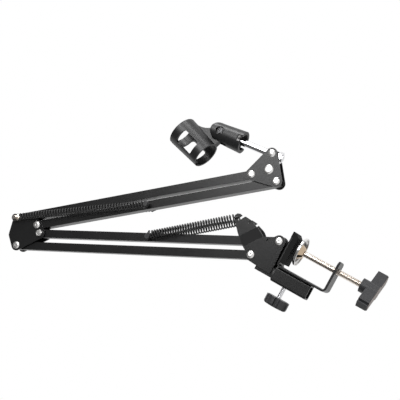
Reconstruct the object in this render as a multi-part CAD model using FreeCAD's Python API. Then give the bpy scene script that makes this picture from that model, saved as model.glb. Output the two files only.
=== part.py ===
import FreeCAD, Part
import math
import os

# Desk-clamp boom arm for a microphone, in millimetres.
# X runs along the desk, away from its edge; Y runs across the arm; Z is up.
# The origin is on the clamp screw's axis, in the face that rests on the desk.

Vector = FreeCAD.Vector

# Fits that many pieces share
running_clearance = 0.05
side_slip = 0.05
hook_gap = 0.3
cut_overrun = 4.0

# Arm bars, and the washers and plates beside them
bar_height = 11.4
bar_width = 14.5
bar_wall = 1.2
bar_overhang = 6.0
pivot_radius = 3.0
washer_radius = 6.2
washer_gap = 1.0
plate_thickness = 2.0
rivet_head_radius = 5.2
rivet_head_height = 1.8
lobe_radius = 7.7

# Desk clamp: a bent steel strip with a rubber pad under its upper jaw
strip_width = 28.0
strip_thickness = 3.0
strip_bend_radius = 2.5
jaw_gap = 58.0
throat_depth = 27.5
upper_jaw_reach = 15.5
lower_jaw_reach = 12.5
jaw_corner_radius = 5.0
pad_thickness = 6.0
pad_nose = 3.0
pad_chamfer = 5.0
pad_setback = 3.5

# Square socket on the clamp's back, with its bush and its thumb screw
socket_side = 19.0
socket_wall = 2.0
socket_corner_radius = 2.5
socket_drop = 1.5
socket_length = 49.5
bush_recess = 8.0
thumb_drop = 18.5
thumb_radius = 3.0
thumb_exposed = 15.0
thumb_seat = 8.0
knob_radius = 15.5
knob_thickness = 12.0
knob_crown = 3.0
knob_flute_radius = 3.7
knob_flutes = 7

# Clamp screw with its swivelling foot and its handle
screw_radius = 4.0
foot_drop = 5.6
foot_radius = 19.0
foot_thickness = 1.5
foot_rim = 4.0
foot_cone_radius = 10.0
foot_cone_height = 6.0
foot_cone_wall = 1.6
handle_drop = 32.0
handle_hub_radius = 9.0
handle_hub_height = 22.5
handle_length = 60.0
handle_width = 9.0
handle_wing_height = 14.5
handle_chamfer = 1.6
handle_pad_margin = 3.5
handle_pad_overlap = 3.0
handle_pad_rise = 2.6
handle_seat = 18.0
handle_turn_deg = 42.0

# Swivelling base: a post between two plates whose ears hold the springs
post_radius = 6.0
post_end_gap = 6.0
post_block_length = 13.0
post_block_height = 23.5
swivel_washer_radius = 9.0
swivel_washer_thickness = 2.0
base_lift = 2.5
base_pivot_reach = 38.7
base_pivot_rise = 11.95
base_corner_radius = 1.5
ear_height = 66.0
ear_bend_start = 15.5
ear_bend_length = 13.0
ear_bend_deg = 54.5
ear_slot_clearance = 0.85
ear_slot_deg = -28.0
ear_shares = (
    (-0.38, 0.30), (-0.056, 0.22), (-0.056, 0.329), (0.014, 0.432), (0.041, 0.498), (0.08, 0.614),
    (0.105, 0.673), (0.115, 0.782), (0.095, 0.841), (0.115, 0.91), (0.095, 0.97), (0.045, 1.0),
    (-0.005, 0.99), (-0.22, 0.794), (-0.427, 0.576), (-0.5, 0.45),
)
ear_slot_shares = ((0.012, 0.883), (0.042, 0.667))

# Lower arm: two bars that make a parallelogram
lower_arm_length = 345.0
lower_lean_deg = 25.8
lower_bar_gap = 6.6
lower_link_along = 36.0
lower_pin_reach = 178.0

# Elbow
elbow_bar_gap = 2.0
elbow_pair_deg = 53.9
elbow_shoulder_radius = 6.5
elbow_shoulder_rise = 6.2
elbow_shoulder_share = 0.6
elbow_top_radius = 5.4
bolt_nut_flats = 10.0
bolt_nut_height = 3.0
bolt_tip = 3.2
hex_bolt_flats = 8.5
hex_bolt_height = 3.2

# Upper arm
upper_arm_length = 349.0
upper_lean_deg = 36.6
upper_bar_gap = 3.8
upper_link_along = 31.3
upper_pin_reach = 170.0

# Springs and the cross pins that hold them
wire_diameter = 1.5
coil_diameter = 9.6
coil_turns = 24
coil_start_share = 0.39
coil_lead_deg = 50.0
ear_wrap_deg = 180.0
pin_wrap_deg = 200.0
spring_side_gap = 0.35
spring_pin_radius = 2.25
pin_collar_radius = 3.6
pin_collar_thickness = 1.2
ear_leg = 8.0
pin_leg = 3.0
bolt_leg = 24.0
leg_bend = 4.5

# Head: two plates, the tilting block between them and the rod that it holds
tilt_run = 29.3
tilt_rise = 23.2
spacer_run = 9.2
spacer_rise = 16.2
spacer_radius = 3.5
spacer_head_radius = 6.4
rod_lean_deg = -3.5
tilt_block_length = 11.5
tilt_block_above = 4.5
tilt_block_below = 7.5
tilt_screw_grip = 2.6
rod_radius = 4.75
rod_below = 14.0
rod_end_gap = 2.0
rod_nut_flats = 14.3
rod_nut_height = 5.0

# Microphone clip and the stem that screws on the rod
stem_radius = 13.5
stem_foot_radius = 15.2
stem_below_pivot = 33.4
stem_wall = 2.5
stem_cavity = 18.0
stem_notch_width = 9.5
stem_notch_height = 6.5
insert_height = 11.0
clip_pivot_reach = 78.4
fork_slot_below = 14.0
clip_screw_radius = 2.5
clip_screw_head_radius = 4.2
clip_screw_head_height = 2.6
clip_screw_recess_radius = 5.6
clip_screw_recess = 4.0
tongue_thickness = 10.0
tongue_radius = 8.0
tongue_clearance = 0.3
holder_turn_deg = 8.0
clip_lean_deg = 17.0
clip_offset = 35.7
clip_inner_radius = 16.9
clip_wall = 3.4
clip_taper = 1.1
clip_length = 50.6
clip_below = 7.1
clip_mouth_half_deg = 10.0
clip_window_start = 11.1
clip_window_length = 28.6
clip_window_width = 20.5
clip_window_radius = 4.0
clip_window_turn_deg = 21.6
clip_web = ((-15.0, 42.5), (-13.5, 26.4), (-3.0, 14.0))

# Places that follow from the sizes above
jaw_top = pad_thickness + strip_thickness
socket_top = jaw_top - socket_drop
swivel_x = -(throat_depth + strip_thickness + socket_side / 2)
thumb_z = socket_top - thumb_drop
handle_z = -(jaw_gap + strip_thickness + handle_drop)
plate_inner = bar_width / 2 + washer_gap
plate_outer = plate_inner + plate_thickness
spring_offset = plate_outer + spring_side_gap + coil_diameter / 2
pin_half_length = spring_offset + wire_diameter + pin_collar_thickness
hole_radius = pivot_radius + running_clearance
stem_start = clip_pivot_reach - stem_below_pivot
rod_above = stem_start + stem_cavity - rod_end_gap


def turned(angle_deg):
    """Unit vector in the XZ plane at an angle from +X towards +Z."""
    return Vector(math.cos(math.radians(angle_deg)), 0, math.sin(math.radians(angle_deg)))


lower_way = turned(90 + lower_lean_deg)
lower_side = turned(lower_lean_deg)
upper_way = turned(upper_lean_deg - 90)
upper_side = turned(upper_lean_deg)
lower_link = lower_way * lower_link_along - lower_side * (bar_height + lower_bar_gap)
upper_link = upper_way * upper_link_along - upper_side * (bar_height + upper_bar_gap)

base_inner = Vector(swivel_x + base_pivot_reach, 0, jaw_top + base_pivot_rise)
base_outer = base_inner + lower_link
elbow_inner = base_inner + lower_way * lower_arm_length
elbow_outer = elbow_inner + lower_link
elbow_low = elbow_inner + turned(elbow_pair_deg) * (bar_height + elbow_bar_gap)
elbow_top = elbow_low - upper_link
head_top = elbow_top + upper_way * upper_arm_length
head_low = elbow_low + upper_way * upper_arm_length
head_tilt = head_low + Vector(tilt_run, 0, tilt_rise)
head_spacer = head_low + Vector(spacer_run, 0, spacer_rise)
lower_pin = base_inner + lower_way * lower_pin_reach
upper_pin = elbow_low + upper_way * upper_pin_reach
ear_slots = [base_inner + Vector(x, 0, z) * ear_height for x, z in ear_slot_shares]
clip_pivot = head_tilt + turned(90 - rod_lean_deg) * clip_pivot_reach


def save(name, *solids):
    """Write one node, of one or more solids."""
    shape = solids[0] if len(solids) == 1 else Part.makeCompound(solids)
    shape.exportStep("parts/" + name + ".step")


def across(place, y):
    """The point at a place in the arm's plane, moved across the arm."""
    return Vector(place.x, y, place.z)


def round_bar(radius, start, end):
    """Cylinder between two points."""
    return Part.makeCylinder(radius, (end - start).Length, start, end - start)


def cross_bar(radius, place, y_start, y_end):
    """Cylinder along Y through a place in the arm's plane."""
    return round_bar(radius, across(place, y_start), across(place, y_end))


def box(x_start, x_end, y_start, y_end, z_start, z_end):
    """Box between three pairs of planes."""
    corner = Vector(x_start, y_start, z_start)
    return Part.makeBox(x_end - x_start, y_end - y_start, z_end - z_start, corner)


def slab(wire, y_start, y_end):
    """Solid of an outline in the XZ plane, between two values of Y."""
    face = Part.Face(wire)
    face.translate(Vector(0, y_start, 0))
    return face.extrude(Vector(0, y_end - y_start, 0))


def polygon(points):
    """Closed wire through points."""
    return Part.makePolygon(list(points) + [points[0]])


def lobed_outline(circles):
    """Wire in the XZ plane round circles, listed counter-clockwise, with straight sides between."""
    normals = []
    for (start, start_radius), (end, end_radius) in zip(circles, circles[1:] + circles[:1]):
        span = end - start
        way = Vector(span).normalize()
        outward = Vector(way.z, 0, -way.x)
        slope = (start_radius - end_radius) / span.Length
        normals.append(way * slope + outward * math.sqrt(1 - slope * slope))
    edges = []
    for i, (centre, radius) in enumerate(circles):
        arriving, leaving = normals[i - 1], normals[i]
        first = math.atan2(arriving.z, arriving.x)
        turn = (math.atan2(leaving.z, leaving.x) - first) % (2 * math.pi)
        middle = turned(math.degrees(first + turn / 2))
        arc = [centre + normal * radius for normal in (arriving, middle, leaving)]
        edges.append(Part.Arc(*arc).toShape())
        after, after_radius = circles[(i + 1) % len(circles)]
        edges.append(Part.LineSegment(arc[2], after + leaving * after_radius).toShape())
    return Part.Wire(edges)


def hexagon(flats, start, way):
    """Hexagonal solid on a point, as long as the vector given."""
    side = way.cross(Vector(0, 0, 1)) if abs(way.z) < way.Length / 2 else Vector(1, 0, 0)
    spoke = Vector(side).normalize() * (flats / math.sqrt(3))
    points = []
    for i in range(6):
        points.append(start + FreeCAD.Rotation(way, 60 * i).multVec(spoke))
    return Part.Face(polygon(points)).extrude(way)


def dome(radius, height, start, way):
    """Rounded head on a flat face."""
    sphere = (radius * radius + height * height) / (2 * height)
    latitude = math.degrees(math.asin((sphere - height) / sphere))
    centre = start - Vector(way).normalize() * (sphere - height)
    return Part.makeSphere(sphere, centre, way, latitude, 90, 360)


def rivet(place, shank_radius, head_radius):
    """Rivet across the arm, with a rounded head on each plate."""
    shape = cross_bar(shank_radius, place, -plate_outer, plate_outer)
    for side in (-1, 1):
        seat = across(place, side * plate_outer)
        shape = shape.fuse(dome(head_radius, rivet_head_height, seat, Vector(0, side, 0)))
    return shape.removeSplitter()


def washers(place):
    """The two washers between a bar and its plates."""
    pair = []
    for side in (-1, 1):
        inner = side * (bar_width / 2 + side_slip)
        outer = side * (plate_inner - side_slip)
        ring = cross_bar(washer_radius, place, inner, outer)
        pair.append(ring.cut(cross_bar(hole_radius, place, inner, outer)))
    return pair


def bar(start, end, pin=None):
    """Rectangular tube with rounded ends, holes at its pivots and at its spring pin."""
    way = Vector(end - start).normalize()
    side = Vector(way.z, 0, -way.x)
    end_radius = bar_height / 2
    reach = way * (bar_overhang - end_radius)
    outline = lobed_outline([(start - reach, end_radius), (end + reach, end_radius)])
    shape = slab(outline, -bar_width / 2, bar_width / 2)
    beyond = way * (bar_overhang + cut_overrun)
    half = side * (bar_height / 2 - bar_wall)
    before, after = start - beyond, end + beyond
    inside = polygon([before - half, after - half, after + half, before + half])
    shape = shape.cut(slab(inside, bar_wall - bar_width / 2, bar_width / 2 - bar_wall))
    for place in (start, end):
        shape = shape.cut(cross_bar(hole_radius, place, -bar_width, bar_width))
    if pin:
        shape = shape.cut(cross_bar(spring_pin_radius + running_clearance, pin, -bar_width, bar_width))
    return shape


def spring_pin(place):
    """Cross pin with a collar at each end, which keeps the spring's hook on."""
    shape = cross_bar(spring_pin_radius, place, -pin_half_length, pin_half_length)
    for side in (-1, 1):
        outer = side * pin_half_length
        collar = cross_bar(pin_collar_radius, place, outer - side * pin_collar_thickness, outer)
        shape = shape.fuse(collar)
    return shape.removeSplitter()


def arc_from(start, tangent, end):
    """Arc that leaves a point along a tangent and reaches another."""
    chord = end - start
    inward = chord - tangent * chord.dot(tangent)
    centre = start + inward * (chord.dot(chord) / (2 * inward.dot(chord)))
    middle = (start - centre) + (end - centre)
    middle.normalize()
    return Part.Arc(start, centre + middle * (start - centre).Length, end).toShape()


def biarc(start, start_tangent, end, end_tangent):
    """Two arcs that join two points and keep to a tangent at each."""
    span = end - start
    both = start_tangent + end_tangent
    spread = 2 * (1 - start_tangent.dot(end_tangent))
    along = span.dot(both)
    reach = (math.sqrt(along * along + spread * span.dot(span)) - along) / spread
    joint = (start + end + (start_tangent - end_tangent) * reach) / 2
    second = arc_from(end, end_tangent * -1, joint)
    return [arc_from(start, start_tangent, joint), second]


def hook(centre, leg_end, leg_way, around_deg):
    """A leg's end bent round a pin, with a short straight tip."""
    spoke = leg_end - centre
    axis = spoke.cross(leg_way)
    ring = []
    for share in (0, 1 / 4, 1 / 2, 3 / 4, 1):
        ring.append(centre + FreeCAD.Rotation(axis, around_deg * share).multVec(spoke))
    tip_way = FreeCAD.Rotation(axis, around_deg).multVec(leg_way)
    arcs = [Part.Arc(*ring[0:3]).toShape(), Part.Arc(*ring[2:5]).toShape()]
    return arcs + [Part.LineSegment(ring[4], ring[4] + tip_way * wire_diameter).toShape()]


def spring_path(start, end, start_leg, start_spoke, end_spoke, start_wrap_deg):
    """Centre line of a coil spring between two hooks. A spoke runs from a hook's centre to its leg."""
    way = Vector(end - start).normalize()
    length = (end - start).Length
    side = Vector(way.z, 0, -way.x)
    mean_radius = (coil_diameter - wire_diameter) / 2
    coil_start = start_leg + leg_bend
    coil_length = length - coil_start - pin_leg - leg_bend
    turns = coil_turns - coil_start_share
    rise = coil_length / (2 * math.pi * turns)
    slope = math.hypot(mean_radius, rise)
    lead_deg = math.degrees(math.atan2(start_spoke.y, start_spoke.dot(side))) + coil_lead_deg

    def on_coil(step):
        angle = math.radians(lead_deg) + math.pi * step
        outward = side * math.cos(angle) + Vector(0, math.sin(angle), 0)
        round_way = Vector(0, math.cos(angle), 0) - side * math.sin(angle)
        place = start + way * (coil_start + rise * math.pi * step) + outward * mean_radius
        return place, (round_way * mean_radius + way * rise) / slope

    half_turns = 2 * coil_turns - 1
    last_step = 2 * turns
    steps = [last_step * i / half_turns for i in range(half_turns + 1)]
    leg_start = start + start_spoke
    leg_stop = leg_start + way * start_leg
    edges = [Part.LineSegment(leg_start, leg_stop).toShape()]
    edges += biarc(leg_stop, way, *on_coil(0))
    for step, next_step in zip(steps, steps[1:]):
        edges += biarc(*on_coil(step), *on_coil(next_step))
    last_leg = end + end_spoke
    edges += biarc(*on_coil(last_step), last_leg - way * pin_leg, way)
    edges.append(Part.LineSegment(last_leg - way * pin_leg, last_leg).toShape())
    first = hook(start, leg_start, way * -1, start_wrap_deg)
    last = hook(end, last_leg, way, pin_wrap_deg)
    return Part.Wire(Part.__sortEdges__(first + edges + last))


def least_self_gap(path):
    """Least space between two stretches of a spring's wire, measured on points along it."""
    count = coil_turns * 32
    points = path.discretize(Number=count)
    apart = int(count * math.pi * coil_diameter / 2 / path.Length)
    least = path.Length
    for i, point in enumerate(points):
        for other in points[i + apart:i + 8 * apart]:
            least = min(least, point.distanceToPoint(other))
    return least - wire_diameter


def spring(name, *course):
    """The pair of springs beside an arm, front and rear."""
    path = spring_path(*course)
    tip, ahead = path.discretize(Number=coil_turns * 200)[:2]
    profile = Part.Wire([Part.Circle(tip, ahead - tip, wire_diameter / 2).toShape()])
    coil = path.makePipeShell([profile], True, False)
    print(name, "least gap of the wire to itself", round(least_self_gap(path), 2), "mm")
    front = coil.translated(Vector(0, -spring_offset, 0))
    save(name + "_front", front)
    save(name + "_rear", front.translated(Vector(0, 2 * spring_offset, 0)))


def edges_across(shape, x):
    """Edges that run right across the strip at a value of X."""
    found = []
    for edge in shape.Edges:
        bounds = edge.BoundBox
        if bounds.YLength > strip_width - side_slip and abs(bounds.Center.x - x) < side_slip:
            found.append(edge)
    return found


def clamp_frame():
    """Strip bent into a C, with a threaded hole in its lower jaw."""
    back = -throat_depth - strip_thickness
    bottom = -jaw_gap - strip_thickness
    profile = polygon([
        Vector(upper_jaw_reach, 0, jaw_top), Vector(back, 0, jaw_top), Vector(back, 0, bottom),
        Vector(lower_jaw_reach, 0, bottom), Vector(lower_jaw_reach, 0, -jaw_gap),
        Vector(-throat_depth, 0, -jaw_gap), Vector(-throat_depth, 0, pad_thickness),
        Vector(upper_jaw_reach, 0, pad_thickness),
    ])
    shape = slab(profile, -strip_width / 2, strip_width / 2)
    shape = shape.makeFillet(strip_bend_radius + strip_thickness, edges_across(shape, back))
    shape = shape.makeFillet(strip_bend_radius, edges_across(shape, -throat_depth))
    tips = []
    for edge in shape.Edges:
        bounds = edge.BoundBox
        if bounds.ZLength > strip_thickness - side_slip and bounds.XMin > 0:
            tips.append(edge)
    shape = shape.makeFillet(jaw_corner_radius, tips)
    below = Vector(0, 0, bottom - cut_overrun)
    above = Vector(0, 0, cut_overrun - jaw_gap)
    return shape.cut(round_bar(screw_radius + running_clearance, below, above))


def jaw_pad():
    """Rubber pad under the upper jaw, with a bevelled nose round the jaw's end."""
    root = pad_setback - throat_depth
    tip = upper_jaw_reach + pad_nose
    profile = polygon([
        Vector(root, 0, 0), Vector(tip - pad_chamfer, 0, 0), Vector(tip, 0, pad_chamfer),
        Vector(tip, 0, jaw_top), Vector(upper_jaw_reach, 0, jaw_top),
        Vector(upper_jaw_reach, 0, pad_thickness), Vector(root, 0, pad_thickness),
    ])
    shape = slab(profile, -strip_width / 2, strip_width / 2)
    strip_end = box(
        upper_jaw_reach - jaw_corner_radius, upper_jaw_reach, -strip_width / 2, strip_width / 2,
        pad_thickness, jaw_top)
    return shape.fuse(strip_end.cut(clamp_frame())).removeSplitter()


def square_tube(side, corner_radius, z_start, z_end):
    """Square solid round the swivel's axis, with rounded corners."""
    shape = box(swivel_x - side / 2, swivel_x + side / 2, -side / 2, side / 2, z_start, z_end)
    upright = [edge for edge in shape.Edges if edge.BoundBox.ZLength > z_end - z_start - running_clearance]
    return shape.makeFillet(corner_radius, upright)


def thumb_hole():
    """Cutting tool for the thumb screw's hole."""
    outer = Vector(swivel_x - socket_side, 0, thumb_z)
    return round_bar(thumb_radius + running_clearance, outer, Vector(swivel_x, 0, thumb_z))


def clamp_socket():
    """Square tube on the clamp's back."""
    bottom = socket_top - socket_length
    shape = square_tube(socket_side, socket_corner_radius, bottom, socket_top)
    inside = square_tube(
        socket_side - 2 * socket_wall, socket_corner_radius / 2,
        bottom - cut_overrun, socket_top + cut_overrun)
    return shape.cut(inside).cut(thumb_hole())


def socket_bush():
    """Plastic bush in the socket, which the post turns in."""
    bottom = socket_top - socket_length + bush_recess
    side = socket_side - 2 * socket_wall - 2 * running_clearance
    shape = square_tube(side, socket_corner_radius / 2, bottom, socket_top)
    bore = round_bar(
        post_radius + running_clearance, Vector(swivel_x, 0, bottom - cut_overrun),
        Vector(swivel_x, 0, socket_top + cut_overrun))
    return shape.cut(bore).cut(thumb_hole())


def thumb_stud():
    """Threaded stud that locks the post."""
    tip = swivel_x - post_radius - side_slip
    seat = knob_face() - thumb_seat
    return round_bar(thumb_radius, Vector(tip, 0, thumb_z), Vector(seat, 0, thumb_z))


def knob_face():
    """X of the knob's face on the socket's side."""
    return swivel_x - socket_side / 2 - thumb_exposed


def thumb_knob():
    """Fluted knob with a rounded crown."""
    face = Vector(knob_face(), 0, thumb_z)
    overrun = Vector(cut_overrun, 0, 0)
    crown = face - Vector(knob_thickness, 0, 0)
    shape = round_bar(knob_radius, face, crown)
    rim = [edge for edge in shape.Edges if edge.BoundBox.XMax < crown.x + running_clearance]
    shape = shape.makeFillet(knob_crown, rim)
    for i in range(knob_flutes):
        turn = FreeCAD.Rotation(Vector(1, 0, 0), 360 * i / knob_flutes)
        flute = turn.multVec(Vector(0, 0, knob_radius))
        shape = shape.cut(round_bar(knob_flute_radius, face + flute + overrun, crown + flute - overrun))
    seat_end = face - Vector(thumb_seat, 0, 0)
    return shape.cut(round_bar(thumb_radius + running_clearance, face + overrun, seat_end))


def revolved(points):
    """Solid of revolution about the screw's axis, from (radius, height) points."""
    face = Part.Face(polygon([Vector(radius, 0, z) for radius, z in points]))
    return face.revolve(Vector(0, 0, 0), Vector(0, 0, 1), 360)


def foot_disc():
    """Pressed saucer that bears on the desk's underside."""
    top = -foot_drop
    under = top - foot_thickness
    return revolved([
        (0, top), (foot_radius - foot_thickness, top), (foot_radius, under), (foot_radius, top - foot_rim),
        (foot_radius - foot_thickness, top - foot_rim), (foot_radius - foot_thickness, under), (0, under),
    ])


def foot_socket():
    """Cone under the saucer, which holds the screw's tip."""
    top = -foot_drop - foot_thickness
    bore = screw_radius + running_clearance
    bottom = top - foot_cone_height
    return revolved([(bore, top), (foot_cone_radius, top), (bore + foot_cone_wall, bottom), (bore, bottom)])


def screw_shaft():
    """Clamp screw, from the foot to the handle."""
    top = -foot_drop - foot_thickness - side_slip
    return round_bar(screw_radius, Vector(0, 0, top), Vector(0, 0, handle_z - handle_seat))


def t_handle():
    """Hub on a cross bar, with a thumb pad on opposite sides of its two wings."""
    bottom = handle_z - handle_hub_height
    top = bottom + handle_wing_height
    shape = round_bar(handle_hub_radius, Vector(0, 0, handle_z), Vector(0, 0, bottom))
    half = handle_length / 2
    outline = polygon([
        Vector(-half, 0, bottom + handle_chamfer), Vector(handle_chamfer - half, 0, bottom),
        Vector(half - handle_chamfer, 0, bottom), Vector(half, 0, bottom + handle_chamfer),
        Vector(half, 0, top), Vector(-half, 0, top),
    ])
    shape = shape.fuse(slab(outline, -handle_width / 2, handle_width / 2))
    thick = handle_width / 2 + handle_pad_rise
    pad = box(handle_pad_margin - half, handle_pad_overlap, -thick, 0, bottom, top)
    shape = shape.fuse(pad).fuse(pad.rotated(Vector(0, 0, 0), Vector(0, 0, 1), 180)).removeSplitter()
    mouth, seat = Vector(0, 0, handle_z + cut_overrun), Vector(0, 0, handle_z - handle_seat)
    shape = shape.cut(round_bar(screw_radius + running_clearance, mouth, seat))
    return shape.rotated(Vector(0, 0, 0), Vector(0, 0, 1), handle_turn_deg)


def swivel_post():
    """Post that turns in the socket, with a square block that the base plates are welded to."""
    shoulder = socket_top + swivel_washer_thickness
    foot = socket_top - socket_length + bush_recess + post_end_gap
    shank = round_bar(post_radius, Vector(swivel_x, 0, foot), Vector(swivel_x, 0, shoulder))
    start, end = swivel_x - post_block_length / 2, swivel_x + post_block_length / 2
    block = box(start, end, -plate_inner, plate_inner, shoulder, shoulder + post_block_height)
    return shank.fuse(block).removeSplitter()


def swivel_washer():
    """Thrust washer between the socket and the post's block."""
    bottom = Vector(swivel_x, 0, socket_top)
    top = bottom + Vector(0, 0, swivel_washer_thickness)
    ring = round_bar(swivel_washer_radius, bottom, top)
    return ring.cut(round_bar(post_radius + running_clearance, bottom, top))


def joggled_sheet():
    """Sheet of the front base plate: flat by the pivots, then bent outwards to the springs' plane."""
    way = turned(ear_bend_deg)
    offset = spring_offset - plate_inner - plate_thickness / 2
    bend = math.atan2(offset, ear_bend_length)
    shift = plate_thickness * math.tan(bend / 2)
    reach = 2 * ear_height
    inner = [
        (-reach, plate_inner), (ear_bend_start, plate_inner),
        (ear_bend_start + ear_bend_length, plate_inner + offset), (reach, plate_inner + offset),
    ]
    outer = [(along - shift, y + plate_thickness) for along, y in reversed(inner)]
    section = [base_inner + way * along - Vector(0, y, 0) for along, y in inner + outer]
    breadth = turned(ear_bend_deg - 90) * (2 * reach)
    face = Part.Face(polygon([point - breadth / 2 for point in section]))
    return face.extrude(breadth)


def base_plate():
    """Front plate of the base, with its slotted ear."""
    corner_x = swivel_x + base_corner_radius - post_block_length / 4
    corner = Vector(corner_x, 0, jaw_top + base_lift + base_corner_radius)
    lobes = [(place, lobe_radius) for place in (base_inner, base_outer)]
    body = lobed_outline(lobes + [(corner, base_corner_radius)])
    ear = polygon([base_inner + Vector(x, 0, z) * ear_height for x, z in ear_shares])
    depth = -spring_offset - plate_outer
    blank = slab(body, depth, 0).fuse(slab(ear, depth, 0))
    mouth = turned(ear_slot_deg)
    half = mouth.cross(Vector(0, 1, 0)) * (wire_diameter / 2 + ear_slot_clearance)
    for place in ear_slots:
        far = place + mouth * (ear_height / 4)
        blank = blank.cut(slab(polygon([place - half, far - half, far + half, place + half]), depth, 0))
        blank = blank.cut(cross_bar(half.Length, place, depth, 0))
    for place in (base_inner, base_outer):
        blank = blank.cut(cross_bar(hole_radius, place, depth, 0))
    return blank.common(joggled_sheet()).removeSplitter()


def flat_plate(circles, holes):
    """Front plate of the elbow or the head."""
    shape = slab(lobed_outline(circles), -plate_outer, -plate_inner)
    for place, radius in holes:
        shape = shape.cut(cross_bar(radius + running_clearance, place, -plate_outer, -plate_inner))
    return shape


def elbow_plate():
    """Front plate of the elbow, which carries both arms' pivots."""
    along = elbow_outer - elbow_top
    outward = Vector(along.z, 0, -along.x).normalize()
    shoulder = elbow_top + along * elbow_shoulder_share + outward * elbow_shoulder_rise
    pivots = (elbow_inner, elbow_low, elbow_top, elbow_outer)
    circles = [(elbow_inner, lobe_radius), (elbow_low, lobe_radius), (elbow_top, elbow_top_radius)]
    circles += [(shoulder, elbow_shoulder_radius), (elbow_outer, lobe_radius)]
    return flat_plate(circles, [(place, pivot_radius) for place in pivots])


def head_plate():
    """Front plate of the head, a rounded triangle."""
    places = (head_low, head_tilt, head_top)
    holes = [(place, pivot_radius) for place in places] + [(head_spacer, spacer_radius)]
    return flat_plate([(place, lobe_radius) for place in places], holes)


def both_plates(name, front):
    """A plate and its mirror image on the far side of the arm."""
    save(name + "_front", front)
    save(name + "_rear", front.mirror(Vector(0, 0, 0), Vector(0, 1, 0)))


def hex_nut(place, y, way, flats, height):
    """Nut on a pivot bolt."""
    start = across(place, y)
    body = hexagon(flats, start, Vector(0, way * height, 0))
    return body.cut(cross_bar(hole_radius, place, y, y + way * height))


def hex_bolt(place):
    """Pivot bolt with its head on the rear plate."""
    shank = cross_bar(pivot_radius, place, -plate_outer - hex_bolt_height, plate_outer)
    head = hexagon(hex_bolt_flats, across(place, plate_outer), Vector(0, hex_bolt_height, 0))
    return shank.fuse(head).removeSplitter()


def on_rod(shape):
    """Turn a piece of the microphone's holder, made upright on the tilt pivot, to the rod's lean."""
    return shape.translated(head_tilt).rotated(head_tilt, Vector(0, 1, 0), rod_lean_deg)


def on_stem(shape):
    """Turn a piece of the stem about the rod, then set it on the rod."""
    return on_rod(shape.rotated(Vector(0, 0, 0), Vector(0, 0, 1), holder_turn_deg))


def tilt_block():
    """Block between the head's plates, bored for the rod and for its two pivot screws."""
    half, depth = tilt_block_length / 2, plate_inner - side_slip
    shape = box(-half, half, -depth, depth, -tilt_block_below, tilt_block_above)
    shape = shape.cut(round_bar(
        rod_radius + running_clearance, Vector(0, 0, -tilt_block_below), Vector(0, 0, tilt_block_above)))
    for side in (-1, 1):
        inner = side * (depth - tilt_screw_grip - side_slip)
        shape = shape.cut(cross_bar(hole_radius, Vector(0, 0, 0), inner, side * depth))
    return shape


def tilt_screw(side):
    """Pivot screw through a head plate into the block."""
    tip = side * (plate_inner - side_slip - tilt_screw_grip)
    shank = cross_bar(pivot_radius, head_tilt, tip, side * plate_outer)
    seat = across(head_tilt, side * plate_outer)
    head = dome(rivet_head_radius, rivet_head_height, seat, Vector(0, side, 0))
    return shank.fuse(head).removeSplitter()


def rod_nut():
    """Nut on the rod's lower end, against the block."""
    top, height = Vector(0, 0, -tilt_block_below), Vector(0, 0, -rod_nut_height)
    bore = round_bar(rod_radius + running_clearance, top, top + height)
    return hexagon(rod_nut_flats, top, height).cut(bore)


def clip_stem():
    """Hollow stem with a forked top end and a notch across its foot."""
    pivot = Vector(0, 0, clip_pivot_reach)
    top = clip_pivot_reach + stem_radius
    foot = Vector(0, 0, stem_start)
    shape = round_bar(stem_radius, pivot, Vector(0, 0, top))
    shape = shape.fuse(Part.makeCone(stem_foot_radius, stem_radius, stem_below_pivot, foot))
    crown = box(-stem_radius, stem_radius, -stem_radius, stem_radius, clip_pivot_reach, top)
    shape = shape.cut(crown.cut(cross_bar(stem_radius, pivot, -stem_radius, stem_radius)))
    cavity_top = Vector(0, 0, stem_start + stem_cavity)
    cavity = round_bar(stem_radius - stem_wall, foot, cavity_top)
    half_slot = tongue_thickness / 2 + tongue_clearance
    floor = clip_pivot_reach - fork_slot_below
    slot = box(-stem_foot_radius, stem_foot_radius, -half_slot, half_slot, floor, top + cut_overrun)
    hole = cross_bar(clip_screw_radius + running_clearance, pivot, -stem_foot_radius, stem_foot_radius)
    half, notch_top = stem_notch_width / 2, stem_start + stem_notch_height
    notch = box(-half, half, -stem_foot_radius, stem_foot_radius, stem_start - cut_overrun, notch_top)
    shape = shape.cut(cavity).cut(slot).cut(hole).cut(notch)
    for side in (-1, 1):
        seat = side * (stem_radius - clip_screw_recess)
        shape = shape.cut(cross_bar(clip_screw_recess_radius, pivot, seat, side * stem_foot_radius))
    return shape


def thread_insert():
    """Metal thread in the stem, on the rod's upper end."""
    top = stem_start + stem_cavity
    bottom, roof = Vector(0, 0, top - insert_height), Vector(0, 0, top)
    ring = round_bar(stem_radius - stem_wall - running_clearance, bottom, roof)
    return ring.cut(round_bar(rod_radius + running_clearance, bottom, roof))


def clip_screw():
    """Screw through the fork and the clip's tongue."""
    pivot = Vector(0, 0, clip_pivot_reach)
    seat = stem_radius - clip_screw_recess
    shank = cross_bar(clip_screw_radius, pivot, -seat, seat + clip_screw_head_height)
    head = cross_bar(clip_screw_head_radius, pivot, -seat - clip_screw_head_height, -seat)
    return shank.fuse(head).removeSplitter()


def clip_nut():
    """Nut in the fork's rear recess."""
    pivot = Vector(0, 0, clip_pivot_reach)
    seat = stem_radius - clip_screw_recess
    body = hexagon(2 * clip_screw_head_radius, across(pivot, seat), Vector(0, clip_screw_head_height, 0))
    hole = cross_bar(clip_screw_radius + running_clearance, pivot, seat, seat + clip_screw_head_height)
    return body.cut(hole)


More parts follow.
